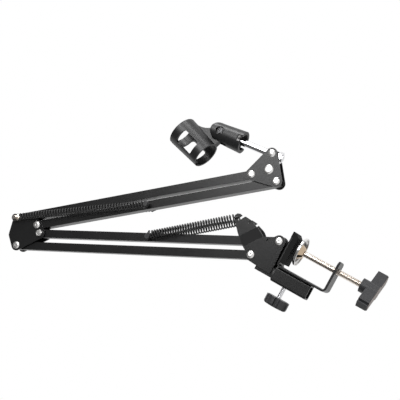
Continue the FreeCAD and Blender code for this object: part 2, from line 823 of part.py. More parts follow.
def clip_window(side):
    """Rounded block that cuts the window in one side of the clip's sleeve."""
    reach, half = 2 * clip_inner_radius, clip_window_width / 2 - clip_window_radius
    low = clip_window_start - clip_below + clip_window_radius
    high = low + clip_window_length - 2 * clip_window_radius
    corners = ((-half, low), (half, low), (half, high), (-half, high))
    outline = lobed_outline([(Vector(x, 0, z), clip_window_radius) for x, z in corners])
    turn = FreeCAD.Rotation(Vector(0, 0, 1), side * clip_window_turn_deg)
    block = slab(outline, 0, side * reach)
    block.Placement = FreeCAD.Placement(Vector(-clip_offset, 0, 0), turn)
    return block


def mic_clip():
    """Split sleeve with a window in each side and a web down to its tongue, which the fork holds."""
    outer_radius = clip_inner_radius + clip_wall
    axis_bottom = Vector(-clip_offset, 0, -clip_below)
    axis_top = axis_bottom + Vector(0, 0, clip_length)
    bore = round_bar(clip_inner_radius, axis_bottom, axis_top)
    shape = Part.makeCone(
        outer_radius - clip_taper, outer_radius + clip_taper, clip_length, axis_bottom, Vector(0, 0, 1))
    half = tongue_thickness / 2
    start, middle, end = (Vector(x, 0, z) for x, z in clip_web)
    sides = polygon([end, Vector(0, 0, 0), axis_bottom, Vector(axis_bottom.x, 0, start.z), start]).Edges[:-1]
    web = slab(Part.Wire([Part.Arc(start, middle, end).toShape()] + sides), -half, half)
    root = box(-clip_offset, 0, -half, half, -clip_below, tongue_radius)
    shape = shape.fuse(web).fuse(root).fuse(cross_bar(tongue_radius, Vector(0, 0, 0), -half, half))
    slit = clip_inner_radius * math.sin(math.radians(clip_mouth_half_deg))
    mouth = box(-2 * clip_offset, -clip_offset, -slit, slit, axis_bottom.z, axis_top.z)
    shape = shape.cut(bore).cut(mouth).cut(clip_window(-1)).cut(clip_window(1))
    shape = shape.cut(cross_bar(clip_screw_radius + running_clearance, Vector(0, 0, 0), -half, half))
    shape = shape.removeSplitter().rotated(Vector(0, 0, 0), Vector(0, 1, 0), clip_lean_deg)
    return shape.translated(clip_pivot).rotated(clip_pivot, turned(90 - rod_lean_deg), holder_turn_deg)


os.makedirs("parts", exist_ok=True)

save("clamp_frame", clamp_frame())
save("jaw_pad", jaw_pad())
save("clamp_socket", clamp_socket())
save("socket_bush", socket_bush())
save("thumb_stud", thumb_stud())
save("thumb_knob", thumb_knob())
save("foot_disc", foot_disc())
save("foot_socket", foot_socket())
save("screw_shaft", screw_shaft())
save("t_handle", t_handle())

save("swivel_post", swivel_post())
save("swivel_washer", swivel_washer())
both_plates("base_plate", base_plate())
for name, place in (("base_rivet_inner", base_inner), ("base_rivet_outer", base_outer)):
    save(name, rivet(place, pivot_radius, rivet_head_radius))

save("lower_bar_inner", bar(base_inner, elbow_inner, lower_pin))
save("lower_bar_outer", bar(base_outer, elbow_outer))
save("lower_spring_pin", spring_pin(lower_pin))

both_plates("elbow_plate", elbow_plate())
for name, place in (("elbow_rivet_low", elbow_low), ("elbow_rivet_outer", elbow_outer)):
    save(name, rivet(place, pivot_radius, rivet_head_radius))
save("elbow_hex_bolt", hex_bolt(elbow_inner))
save("elbow_hex_nut", hex_nut(elbow_inner, -plate_outer, -1, hex_bolt_flats, hex_bolt_height))
bolt_half_length = spring_offset + bolt_tip
save("elbow_spring_bolt", cross_bar(pivot_radius, elbow_top, -bolt_half_length, bolt_half_length))
save("elbow_spring_nut_front", hex_nut(elbow_top, -plate_outer, -1, bolt_nut_flats, bolt_nut_height))
save("elbow_spring_nut_rear", hex_nut(elbow_top, plate_outer, 1, bolt_nut_flats, bolt_nut_height))

save("upper_bar_top", bar(elbow_top, head_top))
save("upper_bar_low", bar(elbow_low, head_low, upper_pin))
save("upper_spring_pin", spring_pin(upper_pin))

pivot_names = {
    "base_washers_inner": base_inner, "base_washers_outer": base_outer,
    "elbow_washers_inner": elbow_inner, "elbow_washers_outer": elbow_outer,
    "elbow_washers_top": elbow_top, "elbow_washers_low": elbow_low,
    "head_washers_top": head_top, "head_washers_low": head_low,
}
for name, place in pivot_names.items():
    save(name, *washers(place))

both_plates("head_plate", head_plate())
for name, place in (("head_rivet_top", head_top), ("head_rivet_low", head_low)):
    save(name, rivet(place, pivot_radius, rivet_head_radius))
save("head_spacer", rivet(head_spacer, spacer_radius, spacer_head_radius))
save("tilt_screw_front", tilt_screw(-1))
save("tilt_screw_rear", tilt_screw(1))
save("tilt_block", on_rod(tilt_block()))
save("mic_rod", on_rod(round_bar(rod_radius, Vector(0, 0, -rod_below), Vector(0, 0, rod_above))))
save("rod_nut", on_rod(rod_nut()))
save("clip_stem", on_stem(clip_stem()))
save("thread_insert", on_stem(thread_insert()))
save("clip_screw", on_stem(clip_screw()))
save("clip_nut", on_stem(clip_nut()))
save("mic_clip", mic_clip())

hook_radius = wire_diameter / 2 + hook_gap
pin_hook = hook_radius + spring_pin_radius
ear_hook = hook_radius + plate_thickness / 2
bolt_hook = hook_radius + pivot_radius
lower_spring_way = Vector(lower_pin - ear_slots[0]).normalize()
lower_spring_side = Vector(lower_spring_way.z, 0, -lower_spring_way.x)
upper_spring_way = Vector(upper_pin - elbow_top).normalize()
upper_spring_side = Vector(upper_spring_way.z, 0, -upper_spring_way.x)
spring(
    "lower_spring", ear_slots[0] + lower_spring_way * ear_hook, lower_pin, ear_leg,
    Vector(0, -ear_hook, 0), lower_spring_side * pin_hook, ear_wrap_deg)
spring(
    "upper_spring", elbow_top, upper_pin, bolt_leg,
    upper_spring_side * bolt_hook, upper_spring_side * pin_hook, pin_wrap_deg)

for name, place in {
    "base_inner": base_inner, "base_outer": base_outer,
    "elbow_inner": elbow_inner, "elbow_outer": elbow_outer, "elbow_top": elbow_top, "elbow_low": elbow_low,
    "head_top": head_top, "head_low": head_low,
    "head_tilt": head_tilt, "clip_pivot": clip_pivot, "lower_pin": lower_pin, "upper_pin": upper_pin,
}.items():
    print(name, [round(value, 4) for value in place])
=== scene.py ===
import math

import bmesh
import bpy
from mathutils import Matrix, Vector


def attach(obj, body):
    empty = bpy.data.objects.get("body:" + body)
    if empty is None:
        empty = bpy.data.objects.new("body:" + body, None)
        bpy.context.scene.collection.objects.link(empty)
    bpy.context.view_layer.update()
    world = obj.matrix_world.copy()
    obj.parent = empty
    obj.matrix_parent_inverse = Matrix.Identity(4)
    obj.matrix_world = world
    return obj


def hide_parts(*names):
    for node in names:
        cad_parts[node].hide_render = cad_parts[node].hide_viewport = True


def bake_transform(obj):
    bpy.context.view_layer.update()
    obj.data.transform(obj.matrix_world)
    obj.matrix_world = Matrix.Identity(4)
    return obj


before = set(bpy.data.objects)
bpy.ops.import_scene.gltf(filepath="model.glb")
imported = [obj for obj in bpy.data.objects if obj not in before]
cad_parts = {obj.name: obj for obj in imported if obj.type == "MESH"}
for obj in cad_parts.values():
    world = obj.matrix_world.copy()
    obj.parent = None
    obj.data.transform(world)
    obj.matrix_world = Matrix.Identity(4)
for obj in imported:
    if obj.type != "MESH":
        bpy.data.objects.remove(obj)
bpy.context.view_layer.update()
scene = bpy.context.scene
scene.view_settings.view_transform = "Standard"

# The photograph's view. The camera stands about a metre in front of the arm, below the desk's edge, and is rolled
# so that the folded arm lies across the picture with its clamp to the right.
view_target = Vector((-0.003, 0, 0.146))
view_distance = 1.05
view_rise = math.radians(22)
view_roll = math.radians(61.5)
view_lens = 71.05
view_ahead = Vector((0, math.cos(view_rise), math.sin(view_rise)))
level_up = Vector((0, -math.sin(view_rise), math.cos(view_rise)))
view_right = Vector((math.cos(view_roll), 0, 0)) - level_up * math.sin(view_roll)
view_up = Vector((math.sin(view_roll), 0, 0)) + level_up * math.cos(view_roll)
camera = bpy.data.objects.new("camera", bpy.data.cameras.new("camera"))
camera.data.lens = view_lens
camera.matrix_world = Matrix.Translation(view_target - view_ahead * view_distance) @ Matrix(
    (view_right, view_up, -view_ahead)).transposed().to_4x4()
scene.collection.objects.link(camera)
scene.camera = camera


# Studio. A white backdrop behind the arm, a dimmer room in front of it, a pale floor at a desk's height below, and
# soft boxes in front, whose sheen fades along the arm towards the elbow.
class Shade:
    """One output of a node tree. Arithmetic on it adds Math nodes."""

    def __init__(self, socket):
        self.socket = socket

    def add(self, kind, settings, sockets, output=0):
        """Add a node to the tree: its settings first, then the values or links of its sockets."""
        tree = self.socket.id_data
        node = tree.nodes.new("ShaderNode" + kind)
        for name, value in settings.items():
            setattr(node, name, value)
        for name, value in sockets.items():
            if isinstance(value, Shade):
                tree.links.new(value.socket, node.inputs[name])
            else:
                node.inputs[name].default_value = value
        return Shade(node.outputs[output])

    def feed(self, node, name):
        self.socket.id_data.links.new(self.socket, node.inputs[name])

    def math(self, operation, first, second):
        return self.add("Math", {"operation": operation}, {0: first, 1: second})

    def __add__(self, other):
        return self.math("ADD", self, other)

    __radd__ = __add__

    def __sub__(self, other):
        return self.math("SUBTRACT", self, other)

    def __rsub__(self, other):
        return self.math("SUBTRACT", other, self)

    def __mul__(self, other):
        return self.math("MULTIPLY", self, other)

    __rmul__ = __mul__

    def between(self, low, high):
        """Colour that runs with this value from low to high, each a colour or a shade."""
        low, high = (end if isinstance(end, Shade) else (*end, 1) for end in (low, high))
        return self.add("Mix", {"data_type": "RGBA"}, {0: self, 6: low, 7: high}, 2)

    def steps(self, low, high):
        """This value spread from 0 at low to 1 at high."""
        return self.add("MapRange", {}, {"Value": self, "From Min": low, "From Max": high})

    def along(self, axis):
        """One coordinate of this vector."""
        return self.add("SeparateXYZ", {}, {"Vector": self}, axis)

    def noise(self, scale, detail):
        return self.add("TexNoise", {}, {"Vector": self, "Scale": scale, "Detail": detail})

    def raised(self, depth, strength):
        """Normal of a surface that this value, times depth in metres, lifts."""
        return self.add("Bump", {}, {"Height": self, "Distance": depth, "Strength": strength})


room_shine = 0.14
room_fill = 0.5
backdrop_start = 0.15
backdrop_full = -0.25
world = bpy.data.worlds.new("studio")
world.use_nodes = True
scene.world = world
backdrop = world.node_tree.nodes["Background"]
backdrop.inputs["Color"].default_value = (1, 1, 1, 1)


def white_where_seen(rays, shine, fill):
    """Strength 1 for the camera and through clear pieces, shine in reflections and fill as light."""
    seen = Shade(rays.outputs["Is Camera Ray"])
    clear = Shade(rays.outputs["Is Transmission Ray"])
    glossy = Shade(rays.outputs["Is Glossy Ray"])
    shown = seen + clear - seen * clear
    return shown + (1 - shown) * (glossy * shine + (1 - glossy) * fill)


rays = world.node_tree.nodes.new("ShaderNodeLightPath")
way = Shade(world.node_tree.nodes.new("ShaderNodeNewGeometry").outputs["Incoming"])
behind = way.along("Y").steps(backdrop_start, backdrop_full)
white_where_seen(rays, room_shine + behind * (1 - room_shine), room_fill).feed(backdrop, "Strength")

floor_drop = 0.75
floor_half = 6.0
floor_tone = (0.85, 0.85, 0.85, 1)
floor_roughness = 0.8
floor_shine = 0.85
floor_shape = bmesh.new()
bmesh.ops.create_grid(floor_shape, x_segments=1, y_segments=1, size=floor_half)
bmesh.ops.translate(floor_shape, verts=floor_shape.verts, vec=(0, 0, -floor_drop))
floor = bpy.data.objects.new("floor", bpy.data.meshes.new("floor"))
floor_shape.to_mesh(floor.data)
floor_shape.free()
scene.collection.objects.link(floor)
pale = bpy.data.materials.new("pale_floor")
pale.use_nodes = True
paint = pale.node_tree.nodes["Principled BSDF"]
paint.inputs["Base Color"].default_value = floor_tone
paint.inputs["Roughness"].default_value = floor_roughness
floor_rays = pale.node_tree.nodes.new("ShaderNodeLightPath")
seen = Shade(floor_rays.outputs["Is Camera Ray"])
glow = seen.add("Emission", {}, {"Strength": white_where_seen(floor_rays, floor_shine, 0.0)})
mirrored = seen + Shade(floor_rays.outputs["Is Glossy Ray"])
floor_look = glow.add("MixShader", {}, {0: mirrored, 1: Shade(paint.outputs[0]), 2: glow})
floor_look.feed(pale.node_tree.nodes["Material Output"], "Surface")
floor.data.materials.append(pale)


def soft_box(name, place, width, height, watts):
    """A soft box at a place in metres, aimed at the arm's middle."""
    lamp = bpy.data.objects.new(name, bpy.data.lights.new(name, "AREA"))
    lamp.data.shape = "RECTANGLE"
    lamp.data.size, lamp.data.size_y, lamp.data.energy = width, height, watts
    aim = (Vector(place) - view_target).to_track_quat("Z", "Y")
    lamp.matrix_world = Matrix.Translation(place) @ aim.to_matrix().to_4x4()
    scene.collection.objects.link(lamp)


soft_box("front_box", (0.64, -1.58, 0.66), width=1.0, height=0.6, watts=20)
soft_box("side_box", (1.5, -0.5, 0.9), width=0.6, height=1.0, watts=22)

# Clamp frame. A flat steel strip, bent twice into a jaw for the desk's edge, with a powder coat baked on it.
# The coat is a satin black with a fine orange peel.
coat_tones = (0.0065, 0.0065, 0.0068), (0.0105, 0.0105, 0.0108)
coat_mottle = (35, 4)
coat_peel = (900, 3)
coat_roughness = (0.25, 0.08, 0.06)
coat_relief = (0.00003, 0.6)
coat_gloss = 0.35
strip_edge = 0.0011
joined_reach = 1e-6
flat_angle = math.radians(0.5)
edge_angle = math.radians(32)
edge_steps = 2


def finish(name):
    """A new material with its shader and its object coordinates."""
    material = bpy.data.materials.new(name)
    material.use_nodes = True
    shader = material.node_tree.nodes["Principled BSDF"]
    return material, shader, Shade(material.node_tree.nodes.new("ShaderNodeTexCoord").outputs["Object"])


def grained(shader, place, tones, cloud, grain, roughness, relief, gloss=0.5):
    """Give a shader a slow change of tone and a fine raised grain, and return its colour.

    A noise is given by its scale and detail, the roughness by its least value and what each noise adds to it, and
    the relief by its depth in metres and its strength."""
    cloud, grain = place.noise(*cloud), place.noise(*grain)
    colour = cloud.between(*tones)
    colour.feed(shader, "Base Color")
    least, cloud_share, grain_share = roughness
    (least + cloud_share * cloud + grain_share * grain).feed(shader, "Roughness")
    grain.raised(*relief).feed(shader, "Normal")
    shader.inputs["Specular IOR Level"].default_value = gloss
    return colour


def dress(name, material, edge):
    """Give a node its finish, and ease its sharp edges by a width in metres."""
    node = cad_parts[name]
    node.data.materials.clear()
    node.data.materials.append(material)
    node.modifiers.new("joined", "WELD").merge_threshold = joined_reach
    flats = node.modifiers.new("flats", "DECIMATE")
    flats.decimate_type = "DISSOLVE"
    flats.angle_limit = flat_angle
    eased = node.modifiers.new("eased", "BEVEL")
    eased.width, eased.segments, eased.limit_method = edge, edge_steps, "ANGLE"
    eased.angle_limit = edge_angle
    eased.miter_outer = "MITER_ARC"
    node.modifiers.new("shading", "WEIGHTED_NORMAL").keep_sharp = True


black_coat, shader, place = finish("black_coat")
grained(shader, place, coat_tones, coat_mottle, coat_peel, coat_roughness, coat_relief, coat_gloss)
dress("clamp_frame", black_coat, strip_edge)

# Jaw pad. A moulded block of black rubber, glued round the upper jaw to keep the desk from scratches.
# It is duller than the coat, with the fine bloom of moulded rubber.
rubber_tones = (0.004, 0.004, 0.004), (0.008, 0.008, 0.008)
rubber_bloom = (120, 4)
rubber_tooth = (2400, 2)
rubber_roughness = (0.62, 0.15, 0.1)
rubber_relief = (0.00004, 0.7)
rubber_gloss = 0.18
pad_edge = 0.0009
black_rubber, shader, place = finish("black_rubber")
grained(shader, place, rubber_tones, rubber_bloom, rubber_tooth, rubber_roughness, rubber_relief, rubber_gloss)
dress("jaw_pad", black_rubber, pad_edge)

# Socket. A square tube welded to the clamp's back and coated with it, and the plastic bush inside that the
# swivelling post turns in.
plastic_tones = (0.0075, 0.0075, 0.008), (0.0135, 0.0135, 0.014)
plastic_flow = (45, 3)
plastic_spark = (3200, 2)
plastic_roughness = (0.34, 0.08, 0.06)
plastic_relief = (0.00001, 0.6)
socket_edge = 0.0005
fine_edge = 0.0003
black_plastic, shader, place = finish("black_plastic")
grained(shader, place, plastic_tones, plastic_flow, plastic_spark, plastic_roughness, plastic_relief)
dress("clamp_socket", black_coat, socket_edge)
dress("socket_bush", black_plastic, fine_edge)

# Locking screw. A rolled steel stud with a bright plating, and a moulded knob with scallops for the fingers.
# The knob's plastic is a little greyer than the bush's, with a fine grain.
stud_radius = 0.003
stud_pitch = 0.001
stud_depth = 0.0003
stud_start = -0.0495
stud_end = -0.0725
stud_height = -0.011
doubles_reach = 1e-7
sharp_angle = math.radians(35)
thread_sides = 28
thread_course = ((0, 1), (0.2, 1), (0.45, 0), (0.75, 0), (1, 1))
chrome_tones = (0.74, 0.74, 0.755), (0.84, 0.84, 0.85)
chrome_haze = (220, 4)
chrome_roughness = (0.06, 0.08)
grip_tones = (0.016, 0.016, 0.0175), (0.027, 0.027, 0.029)
grip_tint = (60, 3)
grip_grain = (1800, 3)
grip_roughness = (0.34, 0.08, 0.08)
grip_relief = (0.00002, 0.6)
knob_edge = 0.0007


def made(name, shape, material, body, slot, *nodes):
    """Make a mesh object of a finished shape, which stands for nodes and rides on a body."""
    bmesh.ops.remove_doubles(shape, verts=shape.verts, dist=doubles_reach)
    bmesh.ops.recalc_face_normals(shape, faces=shape.faces)
    mesh = bpy.data.meshes.new(name)
    shape.to_mesh(mesh)
    shape.free()
    mesh.shade_smooth()
    mesh.set_sharp_from_angle(angle=sharp_angle)
    mesh.materials.append(material)
    thing = bpy.data.objects.new(name, mesh)
    scene.collection.objects.link(thing)
    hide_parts(*nodes)
    if body:
        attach(thing, body)
    return thing


def thread(start, end, radius, pitch, depth):
    """A rod from start to end with a thread rolled on it, cut square at both ends.

    The thread's course gives shares of the pitch along the rod, and shares of the depth below the crest."""
    shape = bmesh.new()
    axis = (end - start).normalized()
    spoke = axis.orthogonal().normalized()
    reach = pitch / 1000
    corners = [shape.verts.new(start + axis * pitch * (along - 1) + spoke * (radius - depth * below))
               for along, below in thread_course]
    ribs = [shape.edges.new(pair) for pair in zip(corners, corners[1:])]
    turns = math.ceil((end - start).length / pitch) + 1
    bmesh.ops.spin(
        shape, geom=corners + ribs, cent=start, axis=axis, dvec=axis * (pitch / thread_sides),
        angle=math.tau * turns, steps=thread_sides * turns)
    bmesh.ops.remove_doubles(shape, verts=shape.verts, dist=reach)
    for cut, way in ((start, -axis), (end, axis)):
        bmesh.ops.bisect_plane(
            shape, geom=shape.verts[:] + shape.edges[:] + shape.faces[:], plane_co=cut, plane_no=way, clear_outer=True)
        rim = [edge for edge in shape.edges if edge.is_boundary
               and all(abs((vert.co - cut).dot(axis)) < reach for vert in edge.verts)]
        bmesh.ops.holes_fill(shape, edges=rim, sides=0)
    return shape


def mottled(shader, place, tones, spots, roughness, metallic):
    """Give a shader a tone and a roughness that vary together in fine spots."""
    spots = place.noise(*spots)
    spots.between(*tones).feed(shader, "Base Color")
    least, share = roughness
    (least + share * spots).feed(shader, "Roughness")
    shader.inputs["Metallic"].default_value = metallic


chrome_plate, shader, place = finish("chrome_plate")
mottled(shader, place, chrome_tones, chrome_haze, chrome_roughness, metallic=1.0)
stud_line = [Vector((x, 0, stud_height)) for x in (stud_start, stud_end)]
made("locking_stud", thread(*stud_line, stud_radius, stud_pitch, stud_depth), chrome_plate, "thumbscrew",
     "chrome_plate", "thumb_stud")
grip_plastic, shader, place = finish("grip_plastic")
grained(shader, place, grip_tones, grip_tint, grip_grain, grip_roughness, grip_relief)
dress("thumb_knob", grip_plastic, knob_edge)

# Clamp screw. A long rolled thread with a pale zinc plating, a pressed saucer that swivels on its tip in a cone
# with a yellow passivation, and a moulded T-shaped handle driven on its end.
# The saucer is bright on its rim, with a painted dark reflection inside; the handle's underside has painted light.
screw_top = -0.00715
screw_bottom = -0.111
screw_radius = 0.004
screw_pitch = 0.002
screw_depth = 0.0006
zinc_bath = (70, 4)
zinc_wear = (900, 3)
yellow_tones = (0.52, 0.38, 0.25), (0.70, 0.58, 0.44)
yellow_roughness = (0.05, 0.08)
pale_tones = (0.76, 0.68, 0.60), (0.87, 0.82, 0.77)
pale_roughness = (0.16, 0.14)
dish_radius = 0.0138
dish_rim_radius = 0.0148
dish_film = (160, 4)
# Painted reflection: the saucer's inside is painted dark where it would mirror the dark clamp.
dish_painted_reflection_tones = (0.03, 0.021, 0.015), (0.07, 0.052, 0.04)
dish_rim_tones = (0.76, 0.75, 0.74), (0.86, 0.85, 0.84)
dish_roughness = (0.14, 0.12, 0.12)
plate_edge = 0.0004
handle_bottom = -0.1155
# Painted light: a thin band at the handle's bottom is painted paler and browner, standing in for reflected light.
handle_painted_light_depth = 0.0004
handle_tones = (0.015, 0.015, 0.017), (0.025, 0.025, 0.0275)
handle_painted_light_tones = (0.15, 0.118, 0.105), (0.21, 0.17, 0.15)
handle_edge = 0.0009


def zinc(name, tones, roughness):
    """A zinc plating whose tone and wear vary apart."""
    material, shader, place = finish(name)
    place.noise(*zinc_bath).between(*tones).feed(shader, "Base Color")
    least, share = roughness
    (least + share * place.noise(*zinc_wear)).feed(shader, "Roughness")
    shader.inputs["Metallic"].default_value = 1.0
    return material


yellow_zinc = zinc("yellow_zinc", yellow_tones, yellow_roughness)
pale_zinc = zinc("pale_zinc", pale_tones, pale_roughness)
screw_line = [Vector((0, 0, z)) for z in (screw_top, screw_bottom)]
made("clamp_screw_thread", thread(*screw_line, screw_radius, screw_pitch, screw_depth), pale_zinc, "clamp_screw",
     "yellow_zinc", "screw_shaft")
pressed_plate, shader, place = finish("pressed_plate")
level = place.add("VectorMath", {"operation": "MULTIPLY"}, {0: place, 1: (1, 1, 0)})
# The saucer's colour is its bright metal at the rim and a painted dark reflection inside the dish's radius.
unpainted_rim = level.add("VectorMath", {"operation": "LENGTH"}, {0: level}, "Value").steps(dish_radius, dish_rim_radius)
film = place.noise(*dish_film)
unpainted_rim.between(film.between(*dish_painted_reflection_tones), film.between(*dish_rim_tones)).feed(shader, "Base Color")
least, film_share, inside_share = dish_roughness
(least + film_share * film + inside_share * (1 - unpainted_rim)).feed(shader, "Roughness")
shader.inputs["Metallic"].default_value = 1.0
dress("foot_disc", pressed_plate, plate_edge)
dress("foot_socket", yellow_zinc, fine_edge)
handle_plastic, shader, place = finish("handle_plastic")
sides = grained(shader, place, handle_tones, grip_tint, grip_grain, grip_roughness, grip_relief)
# Painted light: the handle's colour turns paler and browner in the thin band above its bottom face.
painted_light = place.noise(*grip_tint).between(*handle_painted_light_tones)
under = place.along("Z").steps(handle_bottom + handle_painted_light_depth, handle_bottom)
under.between(sides, painted_light).feed(shader, "Base Color")
dress("t_handle", handle_plastic, handle_edge)

# Swivelling base. A turned post between two coated plates, which are bent outwards into ears with hooked slots for
# the springs. A nylon washer carries them on the socket.
dark_steel_tones = (0.016, 0.016, 0.017), (0.03, 0.03, 0.031)
dark_steel_spots = (400, 4)
dark_steel_roughness = (0.32, 0.16)
nylon_tones = (0.024, 0.024, 0.024), (0.036, 0.036, 0.036)
nylon_cloud = (300, 3)
nylon_roughness = (0.42, 0.16)
dark_steel, shader, place = finish("dark_steel")
mottled(shader, place, dark_steel_tones, dark_steel_spots, dark_steel_roughness, metallic=0.0)
nylon, shader, place = finish("nylon")
mottled(shader, place, nylon_tones, nylon_cloud, nylon_roughness, metallic=0.0)
dress("swivel_post", black_coat, plate_edge)
dress("swivel_washer", nylon, fine_edge)
for side in ("front", "rear"):
    dress("base_plate_" + side, black_coat, plate_edge)

# Rivets. Turned nickel-plated pins whose two heads are closed over the plates, with a low dome and a ring where the
# tool pressed them. The first two hold the lower bars in the base, with nylon washers beside each bar.
# The dome is given by shares of the head's radius, and drops from its top in metres.
rivet_seat = 0.01025
rivet_head = 0.0018
rivet_dome = ((0, 0.00025), (0.2, 0.0002), (0.36, 0), (0.62, 0.0002), (0.84, 0.0006), (0.96, 0.0012))
rivet_sides = 36
pin_shank = 0.003
pin_head = 0.0052
nickel_tones = (0.80, 0.79, 0.775), (0.90, 0.89, 0.875)
nickel_lustre = (260, 4)
nickel_roughness = (0.3, 0.12)
washer_edge = 0.0002
base_pivots = {"inner": (-0.0013, 0.02095), "outer": (-0.0331741, 0.0455273)}
nickel, shader, place = finish("nickel")
mottled(shader, place, nickel_tones, nickel_lustre, nickel_roughness, metallic=1.0)


def rivet(name, body, x, z, shank, head):
    """A rivet along Y with a head at each end, spun from half its outline."""
    shape = bmesh.new()
    top = rivet_seat + rivet_head
    course = [(share * head, top - drop) for share, drop in rivet_dome] + [(head, rivet_seat)]
    outline = [(out, -y) for out, y in course] + [(shank, -rivet_seat), (shank, rivet_seat)] + course[::-1]
    corners = [shape.verts.new((x + out, y, z)) for out, y in outline]
    ribs = [shape.edges.new(pair) for pair in zip(corners, corners[1:])]
    bmesh.ops.spin(shape, geom=corners + ribs, cent=(x, 0, z), axis=(0, 1, 0), angle=math.tau, steps=rivet_sides,
                   use_merge=True)
    made(name + "_closed", shape, nickel, body, "nickel", name)


for place_name, pivot in base_pivots.items():
    rivet("base_rivet_" + place_name, "swivel_base", *pivot, pin_shank, pin_head)
    dress("base_washers_" + place_name, nylon, washer_edge)

# Lower arm. Two bars of rectangular steel tube, coated black, side by side between the base and the elbow. A plated
# cross pin through the inner bar holds the lower springs.
bar_edge = 0.0009
dress("lower_bar_inner", black_coat, bar_edge)
dress("lower_bar_outer", black_coat, bar_edge)
dress("lower_spring_pin", dark_steel, fine_edge)

# Springs. Hard-drawn wire with a dark oil finish, coiled close, with a hooked end at each side. The lower pair runs
# from the base's ears to the lower pin. The upper pair, of a thinner wire, runs from the elbow's long bolt to the
# upper pin; its wire is painted paler, a painted highlight that lifts its coils from the dark bars behind them.
spring_side = 0.0154
wire_sides = 10
hook_steps = 12
lead_steps = 6
coil_steps = 24
hook_wrap = math.radians(200)
pin_hook = 0.0036
pin_leg = 0.003
lead_radius = 0.0014
opening = (1.3, 1.2, 1.1)
dark_wire = (0.007, 0.007, 0.0074), (0.017, 0.0169, 0.0168)
# Painted highlight: the upper springs' wire is the same dark wire painted paler, so its coils show against the dark
# bars.
painted_light_wire = (0.016, 0.016, 0.0168), (0.034, 0.0338, 0.0335)
wire_temper = (500, 4)
wire_roughness = (0.28, 0.14)
wire_gloss = 0.4


def coil_spring(start, spoke, hook, wrap, leg, end, pin, coil_radius, wire_radius, coil_pitch):
    """A wire bent round a hook at start, coiled towards end, and bent round a pin."""
    shape = bmesh.new()
    axis = (end - start).normalized()
    side = Vector((axis.z, 0, -axis.x))
    turn = spoke.cross(axis)
    back = Matrix.Rotation(-wrap, 3, turn)
    spot, heading = start + back @ spoke * hook, back @ axis
    ring = bmesh.ops.create_circle(
        shape, cap_ends=True, segments=wire_sides, radius=wire_radius,
        matrix=Matrix.Translation(spot) @ heading.to_track_quat("Z", "Y").to_matrix().to_4x4())
    rim = list({edge for vert in ring["verts"] for edge in vert.link_edges})

    def bend(rim, spot, heading, centre, about, angle, steps, rise=0.0):
        """Carry the wire's end round an axis, with a rise along it."""
        spun = bmesh.ops.spin(
            shape, geom=rim, cent=centre, axis=about, dvec=about * (rise / steps), angle=angle, steps=steps)
        moved = Matrix.Rotation(angle, 3, about)
        rim = [part for part in spun["geom_last"] if isinstance(part, bmesh.types.BMEdge)]
        return rim, centre + moved @ (spot - centre) + about * rise, moved @ heading

    def swerve(rim, spot, heading, way):
        """Bend the wire's end from its heading to another."""
        about = heading.cross(way).normalized()
        inward = about.cross(heading)
        return bend(rim, spot, heading, spot + inward * lead_radius, about, heading.angle(way), lead_steps)

    def carry(rim, spot, heading, way):
        """Carry the wire's end straight."""
        drawn = bmesh.ops.extrude_edge_only(shape, edges=rim)["geom"]
        ends = {part for part in drawn if isinstance(part, bmesh.types.BMVert)}
        bmesh.ops.translate(shape, verts=list(ends), vec=way)
        rim = [part for part in drawn if isinstance(part, bmesh.types.BMEdge) and ends.issuperset(part.verts)]
        return rim, spot + way, heading

    lead_place = math.sqrt(coil_radius ** 2 - lead_radius ** 2)
    state = bend(rim, spot, heading, start, turn, wrap, hook_steps)
    state = carry(*state, axis * leg + spoke * (lead_place - hook))
    state = swerve(*state, axis.cross(spoke))
    turned = 2 * math.asin(lead_radius / coil_radius)
    phase = math.atan2(spoke.cross(side).dot(axis), spoke.dot(side)) - turned
    wide = math.pi * len(opening)
    room = (end - start).length - leg - 2 * lead_radius - pin_leg - sum(opening) * coil_pitch / 2
    rounds = round(room / coil_pitch - (phase - wide) / math.tau) + (phase - wide) / math.tau
    for share in opening:
        state = bend(*state, start, axis, math.pi, coil_steps // 2, share * coil_pitch / 2)
    whole = math.floor(rounds)
    pitch = room / rounds
    before = set(shape.faces)
    state = bend(*state, start, axis, math.tau, coil_steps, pitch)
    turn_faces = [face for face in shape.faces if face not in before]
    rim, spot, heading = state
    for count in range(1, whole):
        again = bmesh.ops.duplicate(shape, geom=turn_faces)
        bmesh.ops.translate(
            shape, verts=[part for part in again["geom"] if isinstance(part, bmesh.types.BMVert)],
            vec=axis * pitch * count)
    rest = rounds - whole
    state = [again["edge_map"][edge] for edge in rim], spot + axis * pitch * (whole - 1), heading
    state = bend(*state, start, axis, math.tau * rest, math.ceil(coil_steps * rest), pitch * rest)
    state = swerve(*state, axis)
    state = carry(*state, pin + side * pin_hook - state[1])
    rim, spot, heading = bend(*state, pin, side.cross(axis), hook_wrap, hook_steps)
    bmesh.ops.holes_fill(shape, edges=rim, sides=0)
    return shape


def pair_of_springs(name, tones, bodies, bend_start, pin, *course):
    """The front and the rear spring beside an arm."""
    spring_steel, shader, place = finish(name + "_steel")
    mottled(shader, place, tones, wire_temper, wire_roughness, metallic=0.0)
    shader.inputs["Specular IOR Level"].default_value = wire_gloss
    for side_name, y in (("front", -spring_side), ("rear", spring_side)):
        shape = coil_spring(*course)
        bmesh.ops.translate(shape, verts=shape.verts, vec=(0, y, 0))
        coil = made(name + "_coil_" + side_name, shape, spring_steel, None, "spring_steel", name + "_" + side_name)
        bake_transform(coil)


